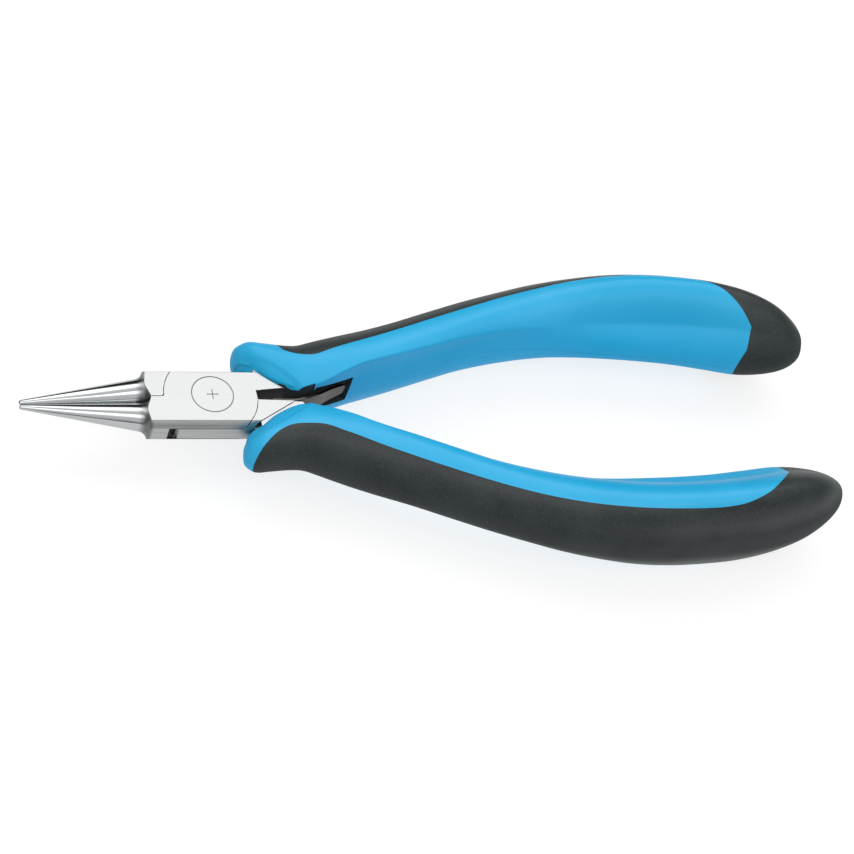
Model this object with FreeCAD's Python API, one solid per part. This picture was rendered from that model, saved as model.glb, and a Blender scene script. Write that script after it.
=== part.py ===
import FreeCAD
import Part
import math
import os
from FreeCAD import Vector

# Round nose pliers with a lapped box joint, a leaf spring and two-component grips.
# Millimetres. The pivot axis is Z, the jaws point along -X, the handles along +X.
# Heights in this file are measured from the mid-plane; MID lifts everything so that
# the lower flat face of the joint lies at Z = 0.

JOINT_T = 5.0          # thickness over the two flat faces of the joint
TONGUE_T = 2.6         # slot height in the box
SLIP = 0.04            # running clearance on each side of the tongue
FACE_HALF = 4.35       # half width of the flat face
SIDE_HALF = 5.2        # half width over the rounded long edges
EDGE_BOW = 0.05        # how far the rounded edge stands out of a plain bevel
NOSE_X = -9.4          # front end of the joint block
BOX_BACK = 7.6         # rear end of the box's cheeks
FAR = 8.0              # past every side of the joint
NOSE_ARC = 7.4         # lap arc between the box and the upper nose
SHANK_ARC = 7.0        # lap arc between the box and the lower shank
LAP = 0.06             # half gap in the laps
SEAM_Y = 0.06          # seam between the two noses
SLOT_R = 7.5           # sweep of the tongue inside the box
SLOT_MOUTH = (-7.0, -4.6, -4.3)     # window at the slot's front: from, to, and how far in
SLOT_BACK = (3.0, -2.0)             # where the slot opens for the tongue's tail
TAIL_X = 4.4           # start of the tail that joins the tongue to its shank
SIDE_SLIP = 0.02       # how far the tongue lies inside the joint's sides
PIN_R = 1.9            # pivot pin, ground flush with the faces
PIN_SLIP = 0.04
APEX_X = -32.38        # where the cone's surface lines would meet
TIP_X = -28.8          # cut end of the jaws
CONE_DEG = 5.74        # half angle of each cone
SHOULDER_S = 21.5      # start of the jaw's turned shoulder, measured from the apex
SHOULDER_END = 24.2    # end of the turned shoulder inside the joint block
FLARE = 1.45           # radius of the shoulder
ROUND_TIP = 0.14       # chamfer at the cut tip
JAW_GAP = 0.05         # gap left between the closed jaws
TANG_HALF = 2.3        # half thickness of the tang inside the grip
TANG_SLIP = 0.05
LEAF_T = 0.45          # leaf spring
LEAF_HALF = 2.2
LEAF_TIP_HALF = 1.2
SEAT_Y = -0.44         # middle of the leaf where the rivet holds it
SKIN = 1.7             # least depth of the soft zone
MID = JOINT_T / 2.0

# Grip stations along X: line of greatest thickness, distance from it in to the
# crease, half thickness at the crease, bulge of the inner side, half thickness,
# and distance from the line of greatest thickness to the outer side.
STATIONS = [
    (4.60, 8.60, 0.50, 0.90, 0.30, 1.20, 0.80),
    (5.00, 8.50, 1.20, 2.00, 1.60, 2.60, 1.60),
    (6.50, 8.20, 2.20, 2.90, 1.70, 4.10, 2.50),
    (8.90, 7.30, 3.90, 3.00, 0.10, 4.70, 3.15),
    (12.0, 6.30, 4.60, 3.30, 0.10, 5.00, 3.90),
    (14.0, 5.90, 4.70, 3.50, 0.10, 5.15, 4.40),
    (16.0, 6.00, 4.20, 3.80, 0.15, 5.35, 5.00),
    (18.0, 6.40, 3.80, 4.40, 0.30, 5.60, 5.30),
    (21.0, 7.00, 2.90, 5.30, 0.60, 5.90, 5.70),
    (24.0, 7.70, 2.20, 5.60, 0.65, 6.00, 6.00),
    (30.0, 9.60, 2.10, 5.40, 0.65, 6.00, 6.10),
    (36.0, 11.95, 2.40, 5.10, 0.60, 6.00, 6.00),
    (42.0, 14.25, 2.75, 4.75, 0.50, 6.10, 5.85),
    (48.0, 16.40, 3.45, 4.55, 0.55, 6.40, 5.50),
    (54.0, 18.20, 4.25, 4.35, 1.10, 6.85, 5.25),
    (60.0, 19.50, 4.90, 4.30, 2.10, 7.60, 4.80),
    (66.0, 20.30, 5.30, 4.30, 2.90, 8.30, 4.40),
    (72.0, 20.45, 5.40, 4.50, 3.30, 8.90, 4.00),
    (78.0, 20.10, 5.35, 4.80, 3.50, 9.20, 3.75),
    (83.4, 19.40, 5.20, 5.20, 3.65, 9.20, 3.80),
    (89.0, 18.20, 4.80, 5.50, 3.50, 8.70, 3.80),
    (93.9, 16.90, 3.80, 5.00, 2.90, 7.20, 3.50),
    (97.1, 15.70, 2.60, 3.90, 2.10, 5.20, 2.90),
    (99.0, 14.90, 1.30, 2.20, 1.10, 2.90, 1.80),
    (99.6, 14.60, 0.45, 0.90, 0.50, 1.10, 0.80),
]

# The grips' middle line leans a little against the joint's, and bends at the front.
AXIS_Y = -0.72
AXIS_SLOPE = -0.0203
BEND = 0.6
BEND_FROM = 12.0
BEND_TO = 27.0

# Line on the broad side where the hard core meets the soft zone. The two grips
# differ at the front: the lower soft zone runs on round the front lobe.
SOFT_FRONT_UPPER = [
    (10.6, 13.0), (10.6, 11.5), (10.6, 10.0), (10.75, 8.6), (11.4, 7.4), (13.0, 6.65),
]
SOFT_FRONT_LOWER = [
    (4.0, 13.0), (4.98, 11.3), (6.0, 10.1), (7.0, 9.1), (9.0, 7.4), (10.9, 6.45), (13.0, 6.2),
]
SOFT_LINE = [
    (16.0, 6.4), (19.0, 7.6), (24.0, 9.6), (30.0, 11.9), (36.0, 14.2), (42.0, 16.4),
    (48.0, 18.4), (54.0, 20.0), (60.0, 21.2), (66.0, 21.9), (72.0, 22.1), (77.0, 21.8),
    (80.4, 21.1), (83.6, 19.6), (86.3, 17.2), (89.2, 13.9),
]
SOFT_END = [(89.2, 13.9), (88.8, 11.3), (87.6, 9.9), (85.8, 7.0)]   # and on across the inner side

# Tangs seen from above, without the offset: the edges towards and away from the gap.
TANG_OUT = [
    (65.2, 19.9), (64.0, 20.9), (54.0, 20.3), (42.0, 17.5), (30.0, 13.1), (24.0, 11.0),
    (17.0, 8.6), (12.5, 6.6),
]
TANG_IN = [(17.0, 5.6), (24.0, 8.1), (30.0, 10.2), (42.0, 14.4), (54.0, 17.3), (64.0, 18.9)]
# Line of a grip's mouth across the shank, on the upper (+1) and the lower (-1) grip.
RIM = {1: [(6.1, 5.45), (12.7, 0.75)], -1: [(6.2, 4.7), (12.8, 0.35)]}
RIM_BEVEL = 0.7        # run of the rim's bevel for each unit of rise
SIDE_GAP = {1: 5.8, -1: -SIDE_HALF - TANG_SLIP}     # inner wall of each mouth beside the joint
UPPER_ROOT_IN = [(7.0, 1.12), (12.3, 1.7), (13.8, 2.9)]
LOWER_ROOT_IN = [(7.0, -0.6), (14.0, -0.85), (15.2, -2.8)]


def face_of(points):
    pts = [Vector(x, y, 0) for x, y in points]
    return Part.Face(Part.makePolygon(pts + [pts[0]]))


def prism(face, low, high):
    return face.translated(Vector(0, 0, low)).extrude(Vector(0, 0, high - low))


def block(x0, x1, y0, y1, low, high):
    return Part.makeBox(x1 - x0, y1 - y0, high - low, Vector(x0, y0, low))


def disc(radius, low, high):
    return Part.makeCylinder(radius, high - low, Vector(0, 0, low))


def one(shape):
    """The largest solid of a result, cleaned of seams left by the operations."""
    solids = sorted(shape.Solids, key=lambda s: s.Volume)
    return solids[-1].removeSplitter()


def union(parts):
    return parts[0].multiFuse(parts[1:]).removeSplitter()


def offset_at(x):
    """Height of the grips' middle line over the joint's at a distance from the pivot."""
    t = min(max((x - BEND_FROM) / (BEND_TO - BEND_FROM), 0.0), 1.0)
    return AXIS_Y + AXIS_SLOPE * x + BEND * (1.0 - t * t * (3.0 - 2.0 * t))


def placed(points, side):
    """Points of the upper grip's plan moved to the upper (+1) or lower (-1) handle."""
    return [(x - AXIS_SLOPE * side * y, side * y + offset_at(x)) for x, y in points]


def envelope():
    """Long bar with the joint's cross-section: flat faces and rounded long edges."""
    h, t = MID, TONGUE_T / 2.0
    mid_y = (FACE_HALF + SIDE_HALF) / 2.0 + EDGE_BOW
    mid_z = (h + t) / 2.0 + EDGE_BOW

    def p(y, z):
        return Vector(-12, y, z)

    def bow(y0, z0, ym, zm, y1, z1):
        return Part.Arc(p(y0, z0), p(ym, zm), p(y1, z1)).toShape()

    edges = [
        Part.makeLine(p(-FACE_HALF, h), p(FACE_HALF, h)),
        bow(FACE_HALF, h, mid_y, mid_z, SIDE_HALF, t),
        Part.makeLine(p(SIDE_HALF, t), p(SIDE_HALF, -t)),
        bow(SIDE_HALF, -t, mid_y, -mid_z, FACE_HALF, -h),
        Part.makeLine(p(FACE_HALF, -h), p(-FACE_HALF, -h)),
        bow(-FACE_HALF, -h, -mid_y, -mid_z, -SIDE_HALF, -t),
        Part.makeLine(p(-SIDE_HALF, -t), p(-SIDE_HALF, t)),
        bow(-SIDE_HALF, t, -mid_y, mid_z, -FACE_HALF, h),
    ]
    return Part.Face(Part.Wire(edges)).extrude(Vector(34, 0, 0))


def cone_jaw(side, seam_y):
    """Round jaw with its turned shoulder, cut at the seam. side is +1 for the upper jaw."""
    angle = math.radians(CONE_DEG)
    apex = Vector(APEX_X, side * JAW_GAP / 2.0, 0)
    along = Vector(math.cos(angle), side * math.sin(angle), 0)
    tip_s = (TIP_X - APEX_X) / math.cos(angle)
    chamfer_s = tip_s + ROUND_TIP
    grow = math.tan(angle)
    r_tip, r_chamfer, r_shoulder = tip_s * grow, chamfer_s * grow, SHOULDER_S * grow
    r_end = r_shoulder + FLARE

    def p(s, r):
        return Vector(s, r, 0)

    mid = math.radians(45)
    edges = [
        Part.makeLine(p(tip_s, 0), p(tip_s, r_tip - ROUND_TIP)),
        Part.makeLine(p(tip_s, r_tip - ROUND_TIP), p(chamfer_s, r_chamfer)),
        Part.makeLine(p(chamfer_s, r_chamfer), p(SHOULDER_S, r_shoulder)),
        Part.Arc(
            p(SHOULDER_S, r_shoulder),
            p(SHOULDER_S + FLARE * math.sin(mid), r_shoulder + FLARE * (1 - math.cos(mid))),
            p(SHOULDER_S + FLARE, r_end),
        ).toShape(),
        Part.makeLine(p(SHOULDER_S + FLARE, r_end), p(SHOULDER_END, r_end)),
        Part.makeLine(p(SHOULDER_END, r_end), p(SHOULDER_END, 0)),
        Part.makeLine(p(SHOULDER_END, 0), p(tip_s, 0)),
    ]
    turned = Part.Face(Part.Wire(edges)).revolve(Vector(0, 0, 0), Vector(1, 0, 0), 360)
    turned.rotate(Vector(0, 0, 0), Vector(0, 0, 1), side * CONE_DEG)
    turned.translate(apex)
    start, bar_start, seam_start = -40.0, -11.6, -10.6
    ahead = block(start, bar_start, -FAR, FAR, -FAR, FAR)
    behind = envelope().common(block(bar_start - 0.1, NOSE_X + 0.6, -FAR, FAR, -FAR, FAR))

    def own_side(x0, x1, edge_y):
        return block(x0, x1, min(edge_y, side * FAR), max(edge_y, side * FAR), -FAR, FAR)

    half = own_side(start, 0, seam_y).fuse(own_side(start, seam_start, 0))
    return one(turned.common(ahead.fuse(behind)).common(half))


def upper_nose(shift):
    """Plan of the inner half's nose block, grown by shift on its lap sides."""
    r = NOSE_ARC + LAP - shift
    seam = SEAM_Y - shift
    corner = 0.5
    front, outside = -12.0, SIDE_HALF + 0.4
    start = math.acos((seam + corner) / r)
    finish = math.acos(outside / r)

    def on_arc(a):
        return Vector(-r * math.sin(a), r * math.cos(a), 0)

    a0, a1 = start, finish
    edges = [
        Part.makeLine(Vector(front, seam, 0), Vector(-r - corner, seam, 0)),
        Part.Arc(
            Vector(-r - corner, seam, 0),
            Vector(-r - 0.14 * corner, seam + 0.30 * corner, 0),
            on_arc(a0),
        ).toShape(),
        Part.Arc(on_arc(a0), on_arc((a0 + a1) / 2.0), on_arc(a1)).toShape(),
        Part.makeLine(on_arc(a1), Vector(front, outside, 0)),
        Part.makeLine(Vector(front, outside, 0), Vector(front, seam, 0)),
    ]
    return Part.Face(Part.Wire(edges))


def tang_plan(side):
    """Outline of a shank and its tang. side is +1 for the upper handle."""
    root = UPPER_ROOT_IN if side > 0 else LOWER_ROOT_IN
    edge = [(9.4, side * SIDE_HALF), (7.0, side * SIDE_HALF)]
    return root + placed(TANG_IN, side) + placed(TANG_OUT, side) + edge


def on_rim(side, y):
    """Point of the rim's line, carried on past its ends, at a given height."""
    (x0, y0), (x1, y1) = placed(RIM[side], side)
    return (x0 + (y - y0) * (x1 - x0) / (y1 - y0), y)


def shank(side):
    """Full-thickness shank up to the mouth, then the thinner tang inside the grip."""
    plan = tang_plan(side)
    near = [(0.0, plan[0][1])] + plan + [(0.0, plan[-1][1])]
    near_y, far_y = side * 8.0, side * -4.0
    before = [(-2.0, near_y), on_rim(side, near_y), on_rim(side, far_y), (-2.0, far_y)]
    bar = prism(face_of(near), -MID, MID).common(prism(face_of(before), -MID, MID))
    root = prism(face_of(plan), -TANG_HALF, TANG_HALF).cut(prism(face_of(before), -MID, MID))
    return union([bar.common(envelope()), root])


def outer_half():
    """Lower jaw, the two cheeks of the box and the tang of the upper handle."""
    t = TONGUE_T / 2.0
    box = block(NOSE_X, BOX_BACK, -FAR, FAR, -MID, MID).common(envelope())
    behind = block(0, FAR, -FAR, UPPER_ROOT_IN[0][1], -FAR, FAR).cut(disc(SHANK_ARC - LAP, -FAR, FAR))
    box = box.cut(prism(upper_nose(2 * LAP), -FAR, FAR)).cut(behind)
    body = union([box, shank(1), cone_jaw(-1, SEAM_Y - 2 * LAP)])
    mouth_from, mouth_to, mouth_in = SLOT_MOUTH
    back_x, back_y = SLOT_BACK
    slot = disc(SLOT_R, -t, t)
    slot = slot.fuse(block(mouth_from, mouth_to, -FAR, mouth_in, -t, t))
    slot = slot.fuse(block(back_x, FAR, -FAR, back_y, -t, t))
    return one(body.cut(slot).cut(disc(PIN_R, -FAR, FAR)))


def inner_half():
    """Upper jaw, the tongue through the box and the tang of the lower handle."""
    t = TONGUE_T / 2.0 - SLIP
    side_y, lap_root = SIDE_HALF - SIDE_SLIP, 0.4
    nose = prism(upper_nose(0), -MID, MID).common(block(NOSE_X, 0, -FAR, FAR, -FAR, FAR))
    nose = nose.common(envelope())
    tongue = disc(SLOT_R - LAP, -t, t)
    lap = prism(upper_nose(lap_root), -t, t).common(block(NOSE_X, 0, SEAM_Y, FAR, -FAR, FAR))
    tail = block(TAIL_X, BOX_BACK, -side_y, -LAP, -t, t)
    tongue = tongue.fuse(lap).fuse(tail).common(block(-FAR - 2, FAR + 2, -side_y, side_y, -t, t))
    bar = shank(-1)
    bar = bar.cut(disc(SHANK_ARC + LAP, t, FAR)).cut(disc(SHANK_ARC + LAP, -FAR, -t))
    bar = bar.cut(block(-2, TAIL_X - lap_root, -FAR, FAR, -FAR, FAR))
    body = union([nose, tongue, bar, cone_jaw(1, SEAM_Y)])
    return one(body.cut(disc(PIN_R + PIN_SLIP, -FAR, FAR)))


def grip_section(side, x, line, inward, crease, bulge, half, outward):
    """Closed wire at one station: two outer quarters, two fronts and the inner side."""
    k = 0.5523
    lean_x = x - AXIS_SLOPE * side * line

    def p(y, z):
        return Vector(lean_x, side * y + offset_at(x), z)

    def curve(points):
        bez = Part.BezierCurve()
        bez.setPoles(points)
        return bez.toShape()

    y_in, y_out = line - inward, line + outward
    f = inward / 3.0
    rise = (half - crease) * 2.0 / 3.0
    deep = y_in - bulge * 4.0 / 3.0
    return Part.Wire([
        curve([p(line, half), p(line + k * outward, half), p(y_out, k * half), p(y_out, 0)]),
        curve([p(y_out, 0), p(y_out, -k * half), p(line + k * outward, -half), p(line, -half)]),
        curve([p(line, -half), p(line - f, -half), p(y_in + f, -crease - rise), p(y_in, -crease)]),
        curve([p(y_in, -crease), p(deep, -crease / 3.0), p(deep, crease / 3.0), p(y_in, crease)]),
        curve([p(y_in, crease), p(y_in + f, crease + rise), p(line - f, half), p(line, half)]),
    ])


def grip_loft(side, inset):
    """Whole grip as one body; inset draws every side in by the same amount."""
    wires = []
    for x, line, inward, crease, bulge, half, outward in STATIONS:
        if inset and (x < 10.0 or x > 96.0):
            continue
        wires.append(grip_section(
            side, x, line, max(inward - inset * 0.6, 0.3), max(crease - inset, 0.5),
            bulge * 0.8, max(half - inset, 0.8), max(outward - inset, 0.4)))
    return Part.makeLoft(wires, True, False)


def soft_region(side):
    """Everything on the outer side of the parting line, and all of the end cap."""
    def at(points):
        return [Vector(x, y, 0) for x, y in placed(points, side)]

    front = SOFT_FRONT_UPPER if side > 0 else SOFT_FRONT_LOWER
    points = at(front + SOFT_LINE)
    line = Part.BSplineCurve()
    line.interpolate(points)
    far_x, far_y = 110.0, 40.0
    ends = at(SOFT_END + [(far_x, SOFT_END[-1][1]), (far_x, far_y), (front[0][0], far_y)])
    ends.append(points[0])
    edges = [line.toShape()] + [Part.makeLine(a, b) for a, b in zip(ends, ends[1:])]
    return prism(Part.Face(Part.Wire(edges)), -14, 14)


def mouth(side):
    """Space in front of the grip: the joint, the shank's sides and the bevelled rim."""
    reach = 9.0
    edge_y, far_y = SIDE_GAP[side], side * -3.0
    here, there = on_rim(side, side * reach), on_rim(side, side * -reach)
    along = Vector(there[0] - here[0], there[1] - here[1], 0)
    across = Vector(-side * along.y, side * along.x, 0).normalize()
    rise = (reach - MID) * RIM_BEVEL
    profile = [(-reach, -reach), (rise, -reach), (0, -MID), (0, MID), (rise, reach), (-reach, reach)]
    start = Vector(here[0], here[1], 0)
    points = [start + across * d + Vector(0, 0, z) for d, z in profile]
    wedge = Part.Face(Part.makePolygon(points + [points[0]])).extrude(along)
    return wedge.common(block(-2, 20, min(edge_y, far_y), max(edge_y, far_y), -reach, reach))


def tang_cavity(side):
    """Room for the tang with clearance all round."""
    grown = face_of(tang_plan(side)).makeOffset2D(TANG_SLIP)
    return prism(grown, -TANG_HALF - TANG_SLIP, TANG_HALF + TANG_SLIP)


def spring_pocket():
    """Relief and pocket in the upper grip, where the leaf spring's free end rests."""
    relief = [(12.0, -1.5), (12.0, 0.5), (13.3, 0.75), (15.95, 1.4), (16.05, 0.5), (16.05, -1.5)]
    plan = [(16.2, -1.5), (16.2, 2.0), (18.2, 3.5), (21.6, 4.6), (23.0, 4.9), (23.9, 4.2), (23.4, -1.5)]
    return prism(face_of(relief), -8.0, 8.0).fuse(prism(face_of(plan), -3.0, 3.0))


def grip_parts(side):
    """Hard core and soft zone of one grip."""
    whole = grip_loft(side, 0).cut(mouth(side)).cut(tang_cavity(side))
    if side > 0:
        whole = whole.cut(spring_pocket())
    soft = one(whole.common(soft_region(side)).cut(grip_loft(side, SKIN)))
    return one(whole.cut(soft)), soft


def leaf_spring():
    """Flat strip lying on the lower shank and bending up towards the upper grip."""
    mid = [(9.5, -0.38), (12.0, SEAT_Y), (13.6, -0.32), (15.1, 0.2), (17.0, 1.05), (19.0, 2.15), (21.6, 3.35)]
    curve = Part.BSplineCurve()
    curve.interpolate([Vector(x, y, 0) for x, y in mid])
    count = 10
    first, last = curve.FirstParameter, curve.LastParameter
    above, below = [], []
    for i in range(count + 1):
        u = first + (last - first) * i / count
        at, along = curve.value(u), curve.tangent(u)[0]
        side = Vector(-along.y, along.x, 0)
        above.append(at + side * (LEAF_T / 2.0))
        below.append(at - side * (LEAF_T / 2.0))
    top, bottom = Part.BSplineCurve(), Part.BSplineCurve()
    top.interpolate(above)
    bottom.interpolate(below)
    plan = Part.Face(Part.Wire([
        top.toShape(), Part.makeLine(above[-1], below[-1]),
        bottom.toShape(), Part.makeLine(below[0], above[0]),
    ]))
    taper = [(9.0, LEAF_HALF), (14.5, LEAF_HALF), (21.0, LEAF_TIP_HALF), (22.0, 0.6)]
    outline = [Vector(x, -2.0, z) for x, z in taper]
    outline += [Vector(x, -2.0, -z) for x, z in reversed(taper)]
    strip = Part.Face(Part.makePolygon(outline + [outline[0]])).extrude(Vector(0, 8, 0))
    return prism(plan, -LEAF_HALF, LEAF_HALF).common(strip)


def spring_rivet():
    """Shank and low domed head of the rivet that holds the leaf spring."""
    at, reach = 12.0, 1.9
    top = SEAT_Y + LEAF_T / 2.0 + 0.01
    stem = Part.makeCylinder(0.6, reach + 0.1, Vector(at, top - reach, 0), Vector(0, 1, 0))
    ball_r, rise = 1.5, 0.55
    ball = Part.makeSphere(ball_r, Vector(at, top + rise - ball_r, 0))
    head = ball.common(block(at - 3, at + 3, top, top + 3, -3, 3))
    return one(stem.fuse(head))


def build():
    rivet = spring_rivet()
    leaf = leaf_spring().cut(rivet)
    outer = outer_half()
    inner = inner_half().cut(rivet)
    pin = disc(PIN_R, -MID, MID)
    upper_core, upper_soft = grip_parts(1)
    lower_core, lower_soft = grip_parts(-1)
    return {
        "outer_half": outer,
        "inner_half": inner,
        "pivot_pin": pin,
        "leaf_spring": leaf,
        "spring_rivet": rivet,
        "upper_grip_core": upper_core,
        "upper_grip_soft": upper_soft,
        "lower_grip_core": lower_core,
        "lower_grip_soft": lower_soft,
    }


def main():
    os.makedirs("parts", exist_ok=True)
    for name, shape in build().items():
        shape = one(shape)
        shape.translate(Vector(0, 0, MID))
        shape.exportStep("parts/" + name + ".step")
        box = shape.BoundBox
        print(name, "valid", shape.isValid(), "volume", round(shape.Volume, 1),
              "x", round(box.XMin, 2), round(box.XMax, 2), "y", round(box.YMin, 2), round(box.YMax, 2),
              "z", round(box.ZMin, 2), round(box.ZMax, 2))


main()
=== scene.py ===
"""Looks of the round nose pliers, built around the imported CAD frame. Plan sizes are in millimetres."""

import math
from contextlib import contextmanager

import bmesh
import bpy
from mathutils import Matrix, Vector


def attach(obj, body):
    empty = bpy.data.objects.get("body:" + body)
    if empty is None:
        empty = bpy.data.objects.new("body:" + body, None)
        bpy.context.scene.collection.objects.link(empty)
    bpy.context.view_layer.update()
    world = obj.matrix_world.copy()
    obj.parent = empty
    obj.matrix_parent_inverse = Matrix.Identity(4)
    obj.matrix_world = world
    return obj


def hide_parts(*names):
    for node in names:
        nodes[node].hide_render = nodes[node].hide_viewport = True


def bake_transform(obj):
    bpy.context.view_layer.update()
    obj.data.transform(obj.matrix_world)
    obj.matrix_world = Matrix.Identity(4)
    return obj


MM = 0.001
MID = 2.5               # height of the joint's mid-plane
MID_M = MID * MM

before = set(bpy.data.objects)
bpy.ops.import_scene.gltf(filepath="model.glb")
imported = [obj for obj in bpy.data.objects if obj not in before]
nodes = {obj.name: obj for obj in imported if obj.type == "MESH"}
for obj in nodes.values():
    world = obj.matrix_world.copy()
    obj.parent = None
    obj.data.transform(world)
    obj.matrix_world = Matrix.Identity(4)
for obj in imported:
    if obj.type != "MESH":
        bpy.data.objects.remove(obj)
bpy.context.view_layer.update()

# ---------------------------------------------------------------- grip shape
# Stations: place along X, line of greatest thickness, distance from it in to the crease, half
# thickness at the crease, bulge of the inner side, greatest half thickness, distance out to the back.
STATIONS = [
    (4.42, 8.62, 0.06, 0.10, 0.03, 0.12, 0.10),
    (4.60, 8.60, 0.80, 1.30, 0.60, 1.70, 1.10),
    (5.00, 8.50, 1.30, 2.10, 1.60, 2.70, 1.70),
    (6.50, 8.20, 2.20, 2.90, 1.70, 4.10, 2.50),
    (8.90, 7.30, 3.90, 3.00, 0.10, 4.70, 3.15),
    (12.0, 6.30, 4.60, 3.30, 0.10, 5.00, 3.90),
    (14.0, 5.90, 4.70, 3.50, 0.10, 5.15, 4.40),
    (16.0, 6.00, 4.20, 3.80, 0.15, 5.35, 5.00),
    (18.0, 6.40, 3.80, 4.40, 0.30, 5.60, 5.30),
    (21.0, 7.00, 2.90, 5.30, 0.60, 5.90, 5.70),
    (24.0, 7.70, 2.20, 5.60, 0.65, 6.00, 6.00),
    (30.0, 9.60, 2.10, 5.40, 0.65, 6.00, 6.10),
    (36.0, 11.95, 2.40, 5.10, 0.60, 6.00, 6.00),
    (42.0, 14.25, 2.75, 4.75, 0.50, 6.10, 5.85),
    (48.0, 16.40, 3.45, 4.55, 0.55, 6.40, 5.50),
    (54.0, 18.20, 4.25, 4.35, 1.10, 6.85, 5.25),
    (60.0, 19.50, 4.90, 4.30, 2.10, 7.60, 4.80),
    (66.0, 20.30, 5.30, 4.30, 2.90, 8.30, 4.40),
    (72.0, 20.45, 5.40, 4.50, 3.30, 8.90, 4.00),
    (78.0, 20.10, 5.35, 4.80, 3.50, 9.20, 3.75),
    (83.4, 19.40, 5.20, 5.20, 3.65, 9.20, 3.80),
    (89.0, 18.20, 4.80, 5.50, 3.50, 8.70, 3.80),
    (93.9, 16.90, 3.80, 5.00, 2.90, 7.20, 3.50),
    (97.1, 15.70, 2.60, 3.90, 2.10, 5.20, 2.90),
    (99.0, 14.90, 1.50, 2.50, 1.20, 3.20, 2.00),
    (99.6, 14.60, 0.80, 1.40, 0.70, 1.80, 1.20),
    (99.8, 14.50, 0.05, 0.10, 0.05, 0.12, 0.10),
]
# Boundary of the soft zone, for the upper (1) and lower (-1) grip: front end, long line, end cap.
SOFT_FRONT = {
    1: [(10.6, 13.0), (10.6, 11.5), (10.6, 10.0), (10.75, 8.6), (11.4, 7.4), (13.0, 6.65)],
    -1: [(4.0, 13.0), (4.98, 11.3), (6.0, 10.1), (7.0, 9.1), (9.0, 7.4), (10.9, 6.45), (13.0, 6.2)],
}
SOFT_LINE = [
    (16.0, 6.4), (19.0, 7.6), (24.0, 9.6), (30.0, 11.9), (36.0, 14.2), (42.0, 16.4),
    (48.0, 18.4), (54.0, 20.0), (60.0, 21.2), (66.0, 21.9), (72.0, 22.1), (77.0, 21.8),
    (80.4, 21.1), (83.6, 19.6), (86.3, 17.2), (89.2, 13.9),
]
SOFT_END = [(88.8, 11.3), (87.6, 9.9), (85.8, 7.0)]
SOFT_BACK_X, SOFT_BACK_Y, SOFT_REACH = 110, 40, 14      # past the grip on every side
RIM = {1: [(6.1, 5.45), (12.7, 0.75)], -1: [(6.2, 4.7), (12.8, 0.35)]}      # ends of a mouth's rim
RIM_BEVEL = 0.7                         # run of the rim's bevel for each unit of rise
RIM_BAND, RIM_DEPTH = {1: 0.45, -1: 1.3}, 0.22          # stepped lip: width and depth
SIDE_GAP = {1: 5.8, -1: -5.25}          # where a mouth's outer wall stands
AXIS_Y, AXIS_SLOPE = -0.72, -0.0203     # line about which the grips are laid out
BEND, BEND_FROM, BEND_TO = 0.6, 12.0, 27.0              # its shift beside the joint
CREASE_ROUND, CUT_ROUND = 0.25, 0.2
CUT_STEEP = 35                          # least angle in degrees of a cut edge that is rounded
GAP_X, GAP_Y, GAP_HALF = (8.5, 16.2), (-1.6, 2.3), 2.6   # gap beside the joint whose walls get painted shade, and half its height
GAP_WALL = -0.55                        # a wall of it faces at least this far towards -Y
TOOL_REACH = 9.0                        # how far a cutter passes the grip
SKIN, SHADE_WALL = 0, 1                  # material indices of a grip's core: its skin, and the dark soft material used as painted shade on the walls of the gap and the pocket
BEZIER_ARC = 0.5523                     # pole distance that makes a quarter ellipse
WELD, CUT_WELD, CUT_LEAST = 0.001, 0.03, 0.02           # points closer than this are joined
GRIP_SMOOTH, LEAF_SMOOTH, STEEL_SMOOTH = 38, 30, 24     # edges up to this angle shade smoothly


def offset_at(x):
    """Sideways place of the layout line."""
    t = min(max((x - BEND_FROM) / (BEND_TO - BEND_FROM), 0.0), 1.0)
    return AXIS_Y + AXIS_SLOPE * x + BEND * (1.0 - t * t * (3.0 - 2.0 * t))


def placed(x, y, side):
    """A point of a grip's own plan on the tool."""
    return x - AXIS_SLOPE * side * y, side * y + offset_at(x)


def smooth_rows(rows, steps):
    """Centripetal Catmull-Rom through rows of numbers of any length."""
    knots = [0.0]
    for a, b in zip(rows, rows[1:]):
        knots.append(knots[-1] + math.sqrt(math.dist(a, b)))
    ends = [[2 * a - b for a, b in zip(rows[0], rows[1])], [2 * a - b for a, b in zip(rows[-1], rows[-2])]]
    pts = [ends[0]] + list(rows) + [ends[1]]
    ts = [2 * knots[0] - knots[1]] + knots + [2 * knots[-1] - knots[-2]]
    out = []
    for i in range(1, len(pts) - 2):
        t0, t1, t2, t3 = ts[i - 1:i + 3]
        p0, p1, p2, p3 = pts[i - 1:i + 3]
        count = max(2, round(steps * (t2 - t1)))
        for k in range(count):
            t = t1 + (t2 - t1) * k / count
            row = []
            for a, b, c, d in zip(p0, p1, p2, p3):
                a1 = ((t1 - t) * a + (t - t0) * b) / (t1 - t0)
                a2 = ((t2 - t) * b + (t - t1) * c) / (t2 - t1)
                a3 = ((t3 - t) * c + (t - t2) * d) / (t3 - t2)
                b1 = ((t2 - t) * a1 + (t - t0) * a2) / (t2 - t0)
                b2 = ((t3 - t) * a2 + (t - t1) * a3) / (t3 - t1)
                row.append(((t2 - t) * b1 + (t - t1) * b2) / (t2 - t1))
            out.append(row)
    out.append(list(rows[-1]))
    return out


def bezier_point(poles, t):
    """Point of a Bezier curve of any order."""
    q = [Vector(p) for p in poles]
    while len(q) > 1:
        q = [a.lerp(b, t) for a, b in zip(q, q[1:])]
    return q[0]


def bezier(poles, count, start=0.0, stop=1.0):
    """Points along a quadratic or cubic Bezier, the first but not the last."""
    return [bezier_point(poles, start + (stop - start) * i / count) for i in range(count)]


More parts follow.
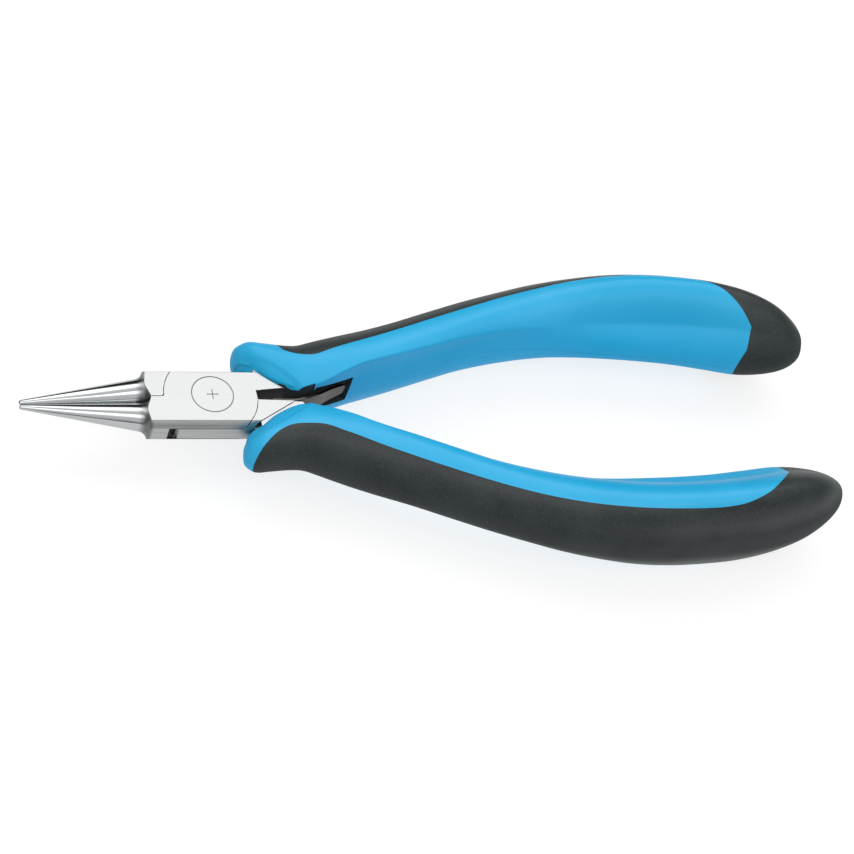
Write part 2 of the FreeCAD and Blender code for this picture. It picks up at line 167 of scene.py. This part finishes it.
def ring(row):
    """One closed section as (y, z) points, with the creases rounded."""
    _, line, inward, crease, bulge, half, outward = row
    k = BEZIER_ARC
    y_in, y_out = line - inward, line + outward
    f, rise, deep = inward / 3, (half - crease) * 2 / 3, line - inward - bulge * 4 / 3
    out_top = [(line, half), (line + k * outward, half), (y_out, k * half), (y_out, 0)]
    out_low = [(y_out, 0), (y_out, -k * half), (line + k * outward, -half), (line, -half)]
    front_low = [(line, -half), (line - f, -half), (y_in + f, -crease - rise), (y_in, -crease)]
    inner = [(y_in, -crease), (deep, -crease / 3), (deep, crease / 3), (y_in, crease)]
    front_top = [(y_in, crease), (y_in + f, crease + rise), (line - f, half), (line, half)]
    cut = min(0.3, CREASE_ROUND / max(inward, 0.3))
    cut_in = min(0.2, CREASE_ROUND / max(2 * crease, 0.3))
    a, b = bezier_point(front_low, 1 - cut), bezier_point(inner, cut_in)
    c, d = bezier_point(inner, 1 - cut_in), bezier_point(front_top, cut)
    pts = bezier(out_top, 16) + bezier(out_low, 16) + bezier(front_low, 12, 0, 1 - cut)
    pts += bezier([a, (y_in, -crease), b], 5) + bezier(inner, 16, cut_in, 1 - cut_in)
    pts += bezier([c, (y_in, crease), d], 5) + bezier(front_top, 12, cut, 1)
    return pts


@contextmanager
def editing(mesh):
    """The mesh as a bmesh, written back at the end."""
    bm = bmesh.new()
    bm.from_mesh(mesh)
    yield bm
    bm.to_mesh(mesh)
    bm.free()


def new_object(name, data):
    obj = bpy.data.objects.new(name, data)
    bpy.context.scene.collection.objects.link(obj)
    return obj


def mesh_object(name, verts, faces):
    """Closed mesh whose faces all look outwards."""
    mesh = bpy.data.meshes.new(name)
    mesh.from_pydata([tuple(v) for v in verts], [], faces)
    with editing(mesh) as bm:
        bmesh.ops.recalc_face_normals(bm, faces=bm.faces[:])
    return new_object(name, mesh)


def loft(name, verts, n):
    """Closed mesh over like sections of n points each."""
    faces = [(i + j, i + (j + 1) % n, i + n + (j + 1) % n, i + n + j)
             for i in range(0, len(verts) - n, n) for j in range(n)]
    faces.append(tuple(range(n)))
    faces.append(tuple(range(len(verts) - n, len(verts))))
    return mesh_object(name, verts, faces)


def slab(name, verts):
    """Closed mesh between two like polygons, given one after the other."""
    n = len(verts) // 2
    faces = [tuple(range(n)), tuple(range(n, 2 * n))]
    faces += [(i, (i + 1) % n, n + (i + 1) % n, n + i) for i in range(n)]
    return mesh_object(name, verts, faces)


def grip_body(name, side, inset=0.0):
    """Whole grip lofted through its stations; inset draws every side in by the same amount."""
    rows = STATIONS
    if inset:
        nose_end, least, least_half = 6, 0.05, 0.08
        rows = [(x + inset if x < nose_end else x, line, max(inward - inset, least),
                 max(crease - inset, least), bulge, max(half - inset, least_half), max(outward - inset, least))
                for x, line, inward, crease, bulge, half, outward in STATIONS]
    verts = []
    table = smooth_rows(rows, 9)
    for row in table:
        lean = row[0] - AXIS_SLOPE * side * row[1]
        off = offset_at(row[0])
        verts += [Vector((lean, side * p[0] + off, p[1] + MID)) * MM for p in ring(row)]
    return loft(name, verts, len(verts) // len(table))


def prism(name, plan, low, high):
    """Vertical prism over a plan, heights from the mid-plane."""
    return slab(name, [Vector((x, y, MID + z)) * MM for z in (low, high) for x, y in plan])


def with_modifiers(obj):
    """Applies every modifier of an object."""
    bpy.context.view_layer.update()
    depsgraph = bpy.context.evaluated_depsgraph_get()
    mesh = bpy.data.meshes.new_from_object(obj.evaluated_get(depsgraph))
    obj.modifiers.clear()
    obj.data = mesh


def carve(obj, tool, how, keep_tool=False):
    """Exact boolean, applied at once."""
    mod = obj.modifiers.new("carve", "BOOLEAN")
    mod.operation = how
    mod.solver = "EXACT"
    mod.object = tool
    mod.material_mode = "TRANSFER"
    with_modifiers(obj)
    if not keep_tool:
        bpy.data.objects.remove(tool)
    return obj


def copy_of(obj, name):
    return new_object(name, obj.data.copy())


def drop_crumbs(obj):
    """Deletes the loose bits that a boolean leaves, under a twentieth of the largest part."""
    with editing(obj.data) as bm:
        left, groups = set(bm.verts), []
        while left:
            todo, group = [left.pop()], []
            while todo:
                v = todo.pop()
                group.append(v)
                for e in v.link_edges:
                    o = e.other_vert(v)
                    if o in left:
                        left.remove(o)
                        todo.append(o)
            groups.append(group)
        groups.sort(key=len)
        for group in groups[:-1]:
            if len(group) < len(groups[-1]) / 20:
                bmesh.ops.delete(bm, geom=group, context="VERTS")


def smooth_by_angle(obj, degrees):
    """Joins the facets of rounded faces and keeps edges steeper than this sharp."""
    with editing(obj.data) as bm:
        bmesh.ops.remove_doubles(bm, verts=bm.verts[:], dist=WELD * MM)
        for f in bm.faces:
            f.smooth = True
        for e in bm.edges:
            e.smooth = len(e.link_faces) == 2 and e.calc_face_angle(0) < math.radians(degrees)


def on_rim(side, y):
    """Point of a mouth's rim line at a given Y."""
    (x0, y0), (x1, y1) = [placed(x, y, side) for x, y in RIM[side]]
    return x0 + (y - y0) * (x1 - x0) / (y1 - y0), y


def rim_wedge(side, back=0.0):
    """Everything in front of a mouth's slanted rim, or of a line set back from it."""
    reach = TOOL_REACH
    here, there = [Vector((*on_rim(side, side * s), 0)) for s in (reach, -reach)]
    along = there - here
    across = Vector((-side * along.y, side * along.x, 0)).normalized()
    here, there = here + across * back, there + across * back
    rise = (reach - MID) * RIM_BEVEL
    profile = [(-reach, -reach), (rise, -reach), (0, -MID), (0, MID), (rise, reach), (-reach, reach)]
    wedge = slab("mouth_tool", [(p + across * d + Vector((0, 0, z + MID))) * MM
                                for p in (here, there) for d, z in profile])
    wedge.data.materials.append(rim_mat)
    return wedge


def mouth(side):
    """Space in front of the grip with its bevelled rim."""
    front, back, high = -2, 20, 10
    edge, far = SIDE_GAP[side], side * -3.0
    box = prism("mouth_box", [(front, edge), (back, edge), (back, far), (front, far)], -high, high)
    return carve(rim_wedge(side), box, "INTERSECT")


def rim_step(side):
    """Thin skin taken off beside the mouth, so that its edge reads as a stepped lip."""
    band = rim_wedge(side, RIM_BAND[side])
    return carve(band, grip_body("inset_grip", side, RIM_DEPTH), "DIFFERENCE")


def soft_region(side):
    """Cutter that parts the soft zone from the core."""
    rows = [placed(x, y, side) for x, y in SOFT_FRONT[side] + SOFT_LINE]
    plan = [tuple(p) for p in smooth_rows(rows, 8)]
    plan += [placed(x, y, side) for x, y in SOFT_END]
    x_front, y_end = SOFT_FRONT[side][0][0], SOFT_END[-1][1]
    around = [(SOFT_BACK_X, y_end), (SOFT_BACK_X, SOFT_BACK_Y), (x_front, SOFT_BACK_Y)]
    plan += [placed(x, y, side) for x, y in around]
    return prism("soft_tool", plan, -SOFT_REACH, SOFT_REACH)


def spring_pocket():
    """Cutters for the relief and the pocket behind the leaf spring; the walls they cut take the dark soft
    material as painted shade.
    """
    relief = [(12.0, -1.5), (12.0, 0.5), (13.3, 0.75), (15.95, 1.4), (16.05, 0.5), (16.05, -1.5)]
    plan = [(16.2, -1.5), (16.2, 2.0), (18.2, 3.3), (20.6, 3.95), (22.0, 4.15), (22.5, 3.5), (21.9, -1.5)]
    tools = prism("relief_tool", relief, -8, 8), prism("pocket_tool", plan, -3, 3)
    # the dark soft material on the cutters paints the cut walls dark, as painted shade
    for tool in tools:
        tool.data.materials.append(soft_mat)
    return tools


def paint_gap_shade(obj):
    """Paints the walls of the gap beside the joint with the dark soft material, as painted shade."""
    for poly in obj.data.polygons:
        x, y, z = poly.center / MM
        in_gap = GAP_X[0] < x < GAP_X[1] and GAP_Y[0] < y < GAP_Y[1] and abs(z - MID) < GAP_HALF
        if in_gap and poly.normal.y < GAP_WALL:
            poly.material_index = SHADE_WALL


def round_cut_edges(obj, width):
    """Rounds the edges where a mouth or pocket meets the moulded skin."""
    with editing(obj.data) as bm:
        bmesh.ops.remove_doubles(bm, verts=bm.verts[:], dist=CUT_WELD * MM)
        bmesh.ops.dissolve_degenerate(bm, edges=bm.edges[:], dist=CUT_LEAST * MM)
        rims = []
        for e in bm.edges:
            kinds = {f.material_index for f in e.link_faces}
            if SKIN in kinds and len(kinds) == 2 and e.calc_face_angle(0) > math.radians(CUT_STEEP):
                rims.append(e)
        bmesh.ops.bevel(bm, geom=rims, offset=width * MM, offset_type="OFFSET", segments=2, profile=0.5,
                        affect="EDGES", clamp_overlap=True, material=SKIN)


def build_grip(side, label, steel, body):
    """Hard core and soft zone of one grip, cut to the mouth, the steel and the spring's pocket."""
    whole = grip_body(label + "_grip_core_shape", side)
    for mat in (core_mat, soft_mat, rim_mat):
        whole.data.materials.append(mat)
    carve(whole, rim_step(side), "DIFFERENCE")
    carve(whole, mouth(side), "DIFFERENCE")
    carve(whole, steel, "DIFFERENCE", keep_tool=True)
    if side > 0:
        for tool in spring_pocket():
            carve(whole, tool, "DIFFERENCE")
    soft = copy_of(whole, label + "_grip_soft_shape")
    region = soft_region(side)
    carve(soft, region, "INTERSECT", keep_tool=True)
    carve(whole, region, "DIFFERENCE")
    for obj, kind in ((whole, "core"), (soft, "soft")):
        drop_crumbs(obj)
        if kind == "core":
            # the walls of the gap beside the joint get the dark soft material as painted shade
            paint_gap_shade(obj)
            round_cut_edges(obj, CUT_ROUND)
        smooth_by_angle(obj, GRIP_SMOOTH)
        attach(obj, body)
        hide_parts(f"{label}_grip_{kind}")
    soft.data.materials.clear()
    soft.data.materials.append(soft_mat)


# ---------------------------------------------------------------- materials
class Graph:
    """Small helper for writing node materials."""

    def __init__(self, name):
        self.mat = bpy.data.materials.new(name)
        self.mat.use_nodes = True
        self.tree = self.mat.node_tree
        self.shader = self.tree.nodes["Principled BSDF"]
        self.where = self.node("ShaderNodeTexCoord").outputs["Object"]

    def node(self, kind, **values):
        n = self.tree.nodes.new(kind)
        for key, value in values.items():
            setattr(n, key, value)
        return n

    def link(self, a, b):
        if hasattr(a, "links"):
            self.tree.links.new(a, b)
        else:
            b.default_value = a

    def math(self, op, a, b=0.0, c=0.0):
        n = self.node("ShaderNodeMath", operation=op)
        for source, socket in zip((a, b, c), n.inputs):
            self.link(source, socket)
        return n.outputs[0]

    def noise(self, scale, detail=2.0, stretch=(1, 1, 1), rough=0.5):
        m = self.node("ShaderNodeMapping")
        m.inputs["Scale"].default_value = stretch
        self.link(self.where, m.inputs["Vector"])
        n = self.node("ShaderNodeTexNoise")
        n.inputs["Scale"].default_value = scale
        n.inputs["Detail"].default_value = detail
        n.inputs["Roughness"].default_value = rough
        self.link(m.outputs[0], n.inputs["Vector"])
        return n.outputs[0]

    def span(self, value, a, b, c, d):
        """Value mapped from the range a to b on to c to d, and held at its ends."""
        n = self.node("ShaderNodeMapRange")
        for source, socket in zip((value, a, b, c, d), n.inputs):
            self.link(source, socket)
        return n.outputs[0]

    def times(self, a, b):
        return self.math("MULTIPLY", a, b)

    def away(self, value, place):
        """Distance of a value from a place, in metres."""
        return self.math("ABSOLUTE", self.math("SUBTRACT", value, place))

    def line(self, value, place, half, fade, level=1.0):
        """Level on a line where value is at place, half wide each way, fading to nothing by fade."""
        return self.span(self.away(value, place), half, fade, level, 0.0)

    def put(self, socket, source):
        self.link(source, self.shader.inputs[socket])

    def mix(self, factor, a, b):
        n = self.node("ShaderNodeMix", data_type="RGBA")
        self.link(factor, n.inputs[0])
        self.link(a, n.inputs[6])
        self.link(b, n.inputs[7])
        return n.outputs[2]

    def axes(self):
        n = self.node("ShaderNodeSeparateXYZ")
        self.link(self.where, n.inputs[0])
        return n.outputs

    def facing(self):
        n = self.node("ShaderNodeSeparateXYZ")
        self.link(self.node("ShaderNodeTexCoord").outputs["Normal"], n.inputs[0])
        return n.outputs

    def bump(self, height, distance, strength):
        n = self.node("ShaderNodeBump")
        n.inputs["Distance"].default_value = distance
        n.inputs["Strength"].default_value = strength
        self.link(height, n.inputs["Height"])
        return n.outputs[0]


def rgb(r, g, b):
    return (r, g, b, 1.0)


# Features of the steel, in metres.
JAW_POLISH = (-0.0112, -0.0104)         # along X, from polished to ground
ROOT_FRONT, ROOT_BACK = (-0.0115, -0.0105), (-0.0098, -0.0093)     # roots of the jaws, where a dark reflection is painted
ROOT_TOP = (0.0046, 0.0049)
FACE_TOP = (0.0049, 0.00498)            # height of the marked face
MARK_X, MARK_Y = 0.0001, 0.00035
MARK_RADIUS, CROSS_ARM = 0.0032, 0.0009
SLOT_HALF = 0.0013                      # half height of the slot's hairlines
SLOT_MIDDLE, SLOT_REACH, SLOT_END = -0.0013, 0.0056, 0.0058
SIDE_FACE = (0.0048, 0.0049)            # distance of the joint's sides from the axis


def steel_material():
    """Ground joint with a lengthwise grain, polished jaws and a plain etched mark."""
    g = Graph("tool_steel")
    x, y, z = g.axes()
    polished = g.span(x, *JAW_POLISH, 1.0, 0.0)
    unpolished = g.math("SUBTRACT", 1.0, polished)
    fine = g.noise(1.0, 3, (160, 6000, 6000), 0.6)
    broad = g.noise(1.0, 2, (40, 1500, 1500), 0.5)
    grain = g.math("ADD", g.times(fine, 0.6), g.times(broad, 0.4))

    top = g.times(g.span(z, *FACE_TOP, 0.0, 1.0), g.span(g.facing()[2], 0.9, 0.98, 0.0, 1.0))
    dx, dy = g.math("SUBTRACT", x, MARK_X), g.math("SUBTRACT", y, MARK_Y)
    r = g.math("SQRT", g.math("ADD", g.times(dx, dx), g.times(dy, dy)))
    ring_line = g.line(r, MARK_RADIUS, 0.00005, 0.0001)
    cross = g.math("MINIMUM", g.math("ABSOLUTE", dx), g.math("ABSOLUTE", dy))
    cross_line = g.times(g.math("LESS_THAN", r, CROSS_ARM), g.span(cross, 0.00004, 0.00009, 1.0, 0.0))
    mark = g.times(top, g.math("MAXIMUM", ring_line, cross_line))

    # painted dark reflection on the jaws' roots, below the height of the marked face
    root_dark_reflection = g.times(g.span(x, *ROOT_FRONT, 0.0, 1.0), g.span(x, *ROOT_BACK, 1.0, 0.0))
    root_dark_reflection = g.times(root_dark_reflection, g.span(z, *ROOT_TOP, 0.8, 0.0))
    seam = g.line(g.away(z, MID_M), SLOT_HALF, 0.00004, 0.0001, 0.85)
    seam = g.times(seam, g.span(g.math("ABSOLUTE", y), *SIDE_FACE, 0.0, 1.0))
    seam = g.times(seam, g.line(x, SLOT_MIDDLE, SLOT_REACH, SLOT_END))

    shade = g.span(grain, 0.3, 0.7, 0.0, 1.0)
    colour = g.mix(shade, rgb(0.325, 0.33, 0.33), rgb(0.435, 0.44, 0.44))
    for amount, tint in ((polished, rgb(0.45, 0.465, 0.47)), (root_dark_reflection, rgb(0.10, 0.11, 0.11)),
                         (seam, rgb(0.02, 0.02, 0.02)), (mark, rgb(0.12, 0.12, 0.13))):
        colour = g.mix(amount, colour, tint)
    g.put("Base Color", colour)
    g.put("Metallic", 1.0)
    rough_ground = g.span(grain, 0.3, 0.7, 0.28, 0.42)
    rough_jaw = g.span(g.noise(900, 3), 0.3, 0.7, 0.07, 0.13)
    g.put("Roughness", g.math("ADD", g.times(polished, rough_jaw), g.times(unpolished, rough_ground)))
    height = g.math("SUBTRACT", g.times(grain, unpolished), g.times(mark, 3.0))
    g.put("Normal", g.bump(height, 0.00001, 0.6))
    return g.mat


def gap_shade_steel_material():
    """Walls between the shanks, painted near black as the shade that falls in the gap between them."""
    g = Graph("painted_shade_steel")
    tone = g.noise(500, 3)
    g.put("Base Color", g.mix(tone, rgb(0.012, 0.011, 0.010), rgb(0.035, 0.032, 0.03)))
    g.put("Metallic", 0.6)
    g.put("Roughness", g.span(tone, 0.3, 0.7, 0.4, 0.55))
    return g.mat


def spring_material():
    """Rolled strip, slightly brown, with long faint streaks."""
    g = Graph("spring_steel")
    streak = g.noise(1.0, 3, (200, 1500, 1500))
    shade = g.span(streak, 0.3, 0.7, 0.0, 1.0)
    g.put("Base Color", g.mix(shade, rgb(0.040, 0.035, 0.030), rgb(0.085, 0.077, 0.068)))
    g.put("Metallic", 1.0)
    g.put("Roughness", g.span(streak, 0.3, 0.7, 0.22, 0.38))
    g.put("Normal", g.bump(streak, 0.00001, 0.5))
    return g.mat


def handled(g, side, face):
    """Roughness of the narrow sides, and of the broad faces that use has made glossier."""
    return g.span(g.away(g.axes()[2], MID_M), 0.0022, 0.005, side, face)


def core_material():
    """Light blue moulded plastic: satin skin, faint flow marks and the mould's parting line."""
    g = Graph("grip_core")
    tone = g.span(g.noise(60, 3), 0.35, 0.65, 0.0, 1.0)
    grain = g.noise(4200, 2)
    moulded = g.mix(tone, rgb(0.006, 0.34, 0.60), rgb(0.018, 0.362, 0.64))
    seam = g.times(g.line(g.axes()[2], MID_M, 0.00005, 0.00014), 0.35)
    g.put("Base Color", g.mix(seam, moulded, rgb(0.002, 0.20, 0.42)))
    g.put("Roughness", g.math("ADD", handled(g, 0.78, 0.42), g.span(grain, 0.3, 0.7, -0.06, 0.06)))
    g.put("Normal", g.bump(grain, 0.00001, 0.45))
    g.put("Specular IOR Level", 0.36)
    return g.mat


def soft_material():
    """Dark elastomer with a fine eroded grain."""
    g = Graph("grip_soft")
    grain = g.noise(3000, 4, rough=0.65)
    broad = g.span(g.noise(150, 3), 0.35, 0.65, 0.0, 1.0)
    dust = g.span(grain, 0.52, 0.75, 0.0, 1.0)
    base = g.mix(broad, rgb(0.009, 0.014, 0.0145), rgb(0.017, 0.0235, 0.024))
    g.put("Base Color", g.mix(dust, base, rgb(0.040, 0.047, 0.048)))
    g.put("Roughness", g.math("ADD", handled(g, 0.8, 0.46), g.span(grain, 0.3, 0.7, -0.07, 0.07)))
    g.put("Normal", g.bump(grain, 0.00004, 0.6))
    g.put("Specular IOR Level", 0.38)
    return g.mat


# ---------------------------------------------------------------- pieces
STEEL_BREAK, BREAK_STEEP = 0.1, 40      # width of the forgings' broken edges, and their least angle
FLAT_WITHIN = 0.4                       # facets that differ by less than this are one flat face
SHADE_X, SHADE_Y, SHADE_LEAN = (-9.3, 15), 4.4, 0.75       # walls painted dark as shade: place, and how upright
# The leaf spring's middle line in plan, and its section.
LEAF_MID = [
    (9.5, -0.38), (12.0, -0.44), (13.6, -0.32), (15.1, 0.2), (17.0, 1.05), (19.0, 2.15), (21.6, 3.35),
]
LEAF_HALF_T, LEAF_HALF_W, LEAF_EDGE = 0.225, 2.2, 0.05
LEAF_TAPER_X, LEAF_TAPER = 14.5, 0.154
LEAF_END_X, LEAF_END_ROUND = 21.62, 0.55


def leaf_strip():
    """The leaf spring as a smooth tapered strip with a rounded end."""
    centre = smooth_rows(LEAF_MID, 9)
    t, e = LEAF_HALF_T, LEAF_EDGE
    verts = []
    for i, (x, y) in enumerate(centre):
        a, b = centre[max(i - 1, 0)], centre[min(i + 1, len(centre) - 1)]
        d = Vector((b[0] - a[0], b[1] - a[1])).normalized()
        left = max(LEAF_END_X - x, 0.0)
        w = LEAF_HALF_W - max(0.0, x - LEAF_TAPER_X) * LEAF_TAPER
        if left < LEAF_END_ROUND:
            w -= LEAF_END_ROUND * (1 - math.sqrt(1 - (1 - left / LEAF_END_ROUND) ** 2))
        loop = [(-t, -w + e), (-t + e, -w), (t - e, -w), (t, -w + e),
                (t, w - e), (t - e, w), (-t + e, w), (-t, w - e)]
        verts += [Vector((x - d.y * s, y + d.x * s, MID + z)) * MM for s, z in loop]
    obj = loft("leaf_spring_strip", verts, len(loop))
    smooth_by_angle(obj, LEAF_SMOOTH)
    return obj


def steel_piece(name, body, broken):
    """A steel node with true flat faces and, where broken is set, its sharp edges taken off."""
    obj = copy_of(nodes[name], name + "_shape")
    with editing(obj.data) as bm:
        bmesh.ops.remove_doubles(bm, verts=bm.verts[:], dist=WELD * MM)
        flat = math.radians(FLAT_WITHIN)
        bmesh.ops.dissolve_limit(bm, angle_limit=flat, verts=bm.verts[:], edges=bm.edges[:])
    if broken:
        bevel = obj.modifiers.new("broken_edges", "BEVEL")
        bevel.width = broken * MM
        bevel.segments = 2
        bevel.limit_method = "ANGLE"
        bevel.angle_limit = math.radians(BREAK_STEEP)
        with_modifiers(obj)
    smooth_by_angle(obj, STEEL_SMOOTH)
    obj.modifiers.new("flat_faces", "WEIGHTED_NORMAL").keep_sharp = True
    with_modifiers(obj)
    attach(obj, body)
    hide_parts(name)
    obj.data.materials.clear()
    for mat in (steel, gap_shade_steel):
        obj.data.materials.append(mat)
    # upright walls between the shanks get the near-black steel as painted shade
    for poly in obj.data.polygons:
        x, y, _ = poly.center / MM
        between = SHADE_X[0] < x < SHADE_X[1] and abs(y) < SHADE_Y
        poly.material_index = int(between and abs(poly.normal.z) < SHADE_LEAN)


steel, gap_shade_steel = steel_material(), gap_shade_steel_material()
steel_piece("outer_half", "outer_body", STEEL_BREAK)
steel_piece("inner_half", "inner_body", STEEL_BREAK)
steel_piece("pivot_pin", "outer_body", 0)

spring_mat = spring_material()
rivet = nodes["spring_rivet"]
rivet.data.materials.clear()
rivet.data.materials.append(spring_mat)

core_mat, soft_mat = core_material(), soft_material()
rim_mat = core_material()      # its own, so that the rims' faces can be told from the skin
build_grip(1, "upper", nodes["outer_half"], "outer_body")
build_grip(-1, "lower", nodes["inner_half"], "inner_body")

leaf = leaf_strip()
leaf.data.materials.append(spring_mat)
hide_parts("leaf_spring")
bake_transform(leaf)

# ---------------------------------------------------------------- stage
FLOOR_TOP, FLOOR_SIZE, FLOOR_THICK = -6.9, (-900, 1000, -900, 900), 1


def studio_floor():
    """Plain pale floor, slightly luminous so that it stays near white."""
    x0, x1, y0, y1 = FLOOR_SIZE
    top = FLOOR_TOP - MID
    floor = prism("studio_floor", [(x0, y0), (x1, y0), (x1, y1), (x0, y1)], top - FLOOR_THICK, top)
    g = Graph("studio_floor")
    g.put("Base Color", g.mix(g.noise(12, 2), rgb(0.22, 0.22, 0.22), rgb(0.24, 0.24, 0.24)))
    g.put("Roughness", 0.9)
    g.put("Emission Color", rgb(1.0, 1.0, 1.0))
    g.put("Emission Strength", 0.76)
    floor.data.materials.append(g.mat)
    return floor


# Brightness of the tent by angle from overhead, in degrees, the camera's side positive:
# dark behind the tool, a wide softbox above its far side, a strip light nearer the front.
TENT = [
    (-180, 0.05), (-54, 0.04), (-42, 3.0), (-22, 3.0), (-13, 1.3), (12, 0.8), (20, 2.7),
    (34, 2.7), (42, 1.0), (60, 0.95), (70, 0.85), (84, 0.2), (110, 0.05), (180, 0.05),
]
TENT_FADE = (0.45, 0.9)         # how far towards the tool's ends the tent fades, 1 being along X
TENT_END = 0.1                  # what is left there


def studio_world():
    """Tent of long softboxes that run along the tool, fading towards its ends."""
    world = bpy.data.worlds.new("studio")
    world.use_nodes = True
    tree = world.node_tree
    back = tree.nodes["Background"]

    def node(kind, *sources, **values):
        n = tree.nodes.new(kind)
        for key, value in values.items():
            setattr(n, key, value)
        for source, socket in zip(sources, n.inputs):
            if hasattr(source, "links"):
                tree.links.new(source, socket)
            else:
                socket.default_value = source
        return n

    x, y, z = node("ShaderNodeSeparateXYZ", node("ShaderNodeTexCoord").outputs["Generated"]).outputs
    front = node("ShaderNodeMath", y, -1.0, operation="MULTIPLY").outputs[0]
    angle = node("ShaderNodeMath", front, z, operation="ARCTAN2").outputs[0]
    turn = node("ShaderNodeMapRange", angle, -math.pi, math.pi, 0.0, 1.0).outputs[0]
    ramp = node("ShaderNodeValToRGB", turn)
    elements = ramp.color_ramp.elements
    elements[0].position, elements[1].position = 0.0, 1.0
    for degrees, _ in TENT[1:-1]:
        elements.new((degrees + 180) / 360)
    brightest = max(level for _, level in TENT)
    for element, (_, level) in zip(elements, TENT):
        element.color = rgb(*[level / brightest] * 3)
    across = node("ShaderNodeMath", x, operation="ABSOLUTE").outputs[0]
    fade = node("ShaderNodeMapRange", across, *TENT_FADE, brightest, TENT_END * brightest).outputs[0]
    tree.links.new(ramp.outputs[0], back.inputs[0])
    tree.links.new(fade, back.inputs[1])
    bpy.context.scene.world = world


CAMERA_AT = (-105.826, -249.026, 359.565)       # from the joint's mid-plane
CAMERA_TURN = (35.5918, -14.6404, -10.2123)
CAMERA_LENS = 125.62


def studio_camera():
    data = bpy.data.cameras.new("camera")
    data.sensor_width = 36.0
    data.lens = CAMERA_LENS
    data.clip_start = 0.01
    camera = new_object("camera", data)
    x, y, z = CAMERA_AT
    camera.location = Vector((x, y, z + MID)) * MM
    camera.rotation_euler = [math.radians(a) for a in CAMERA_TURN]
    return camera


studio_floor()
studio_world()
bpy.context.scene.view_settings.view_transform = "Standard"
bpy.context.scene.camera = studio_camera()
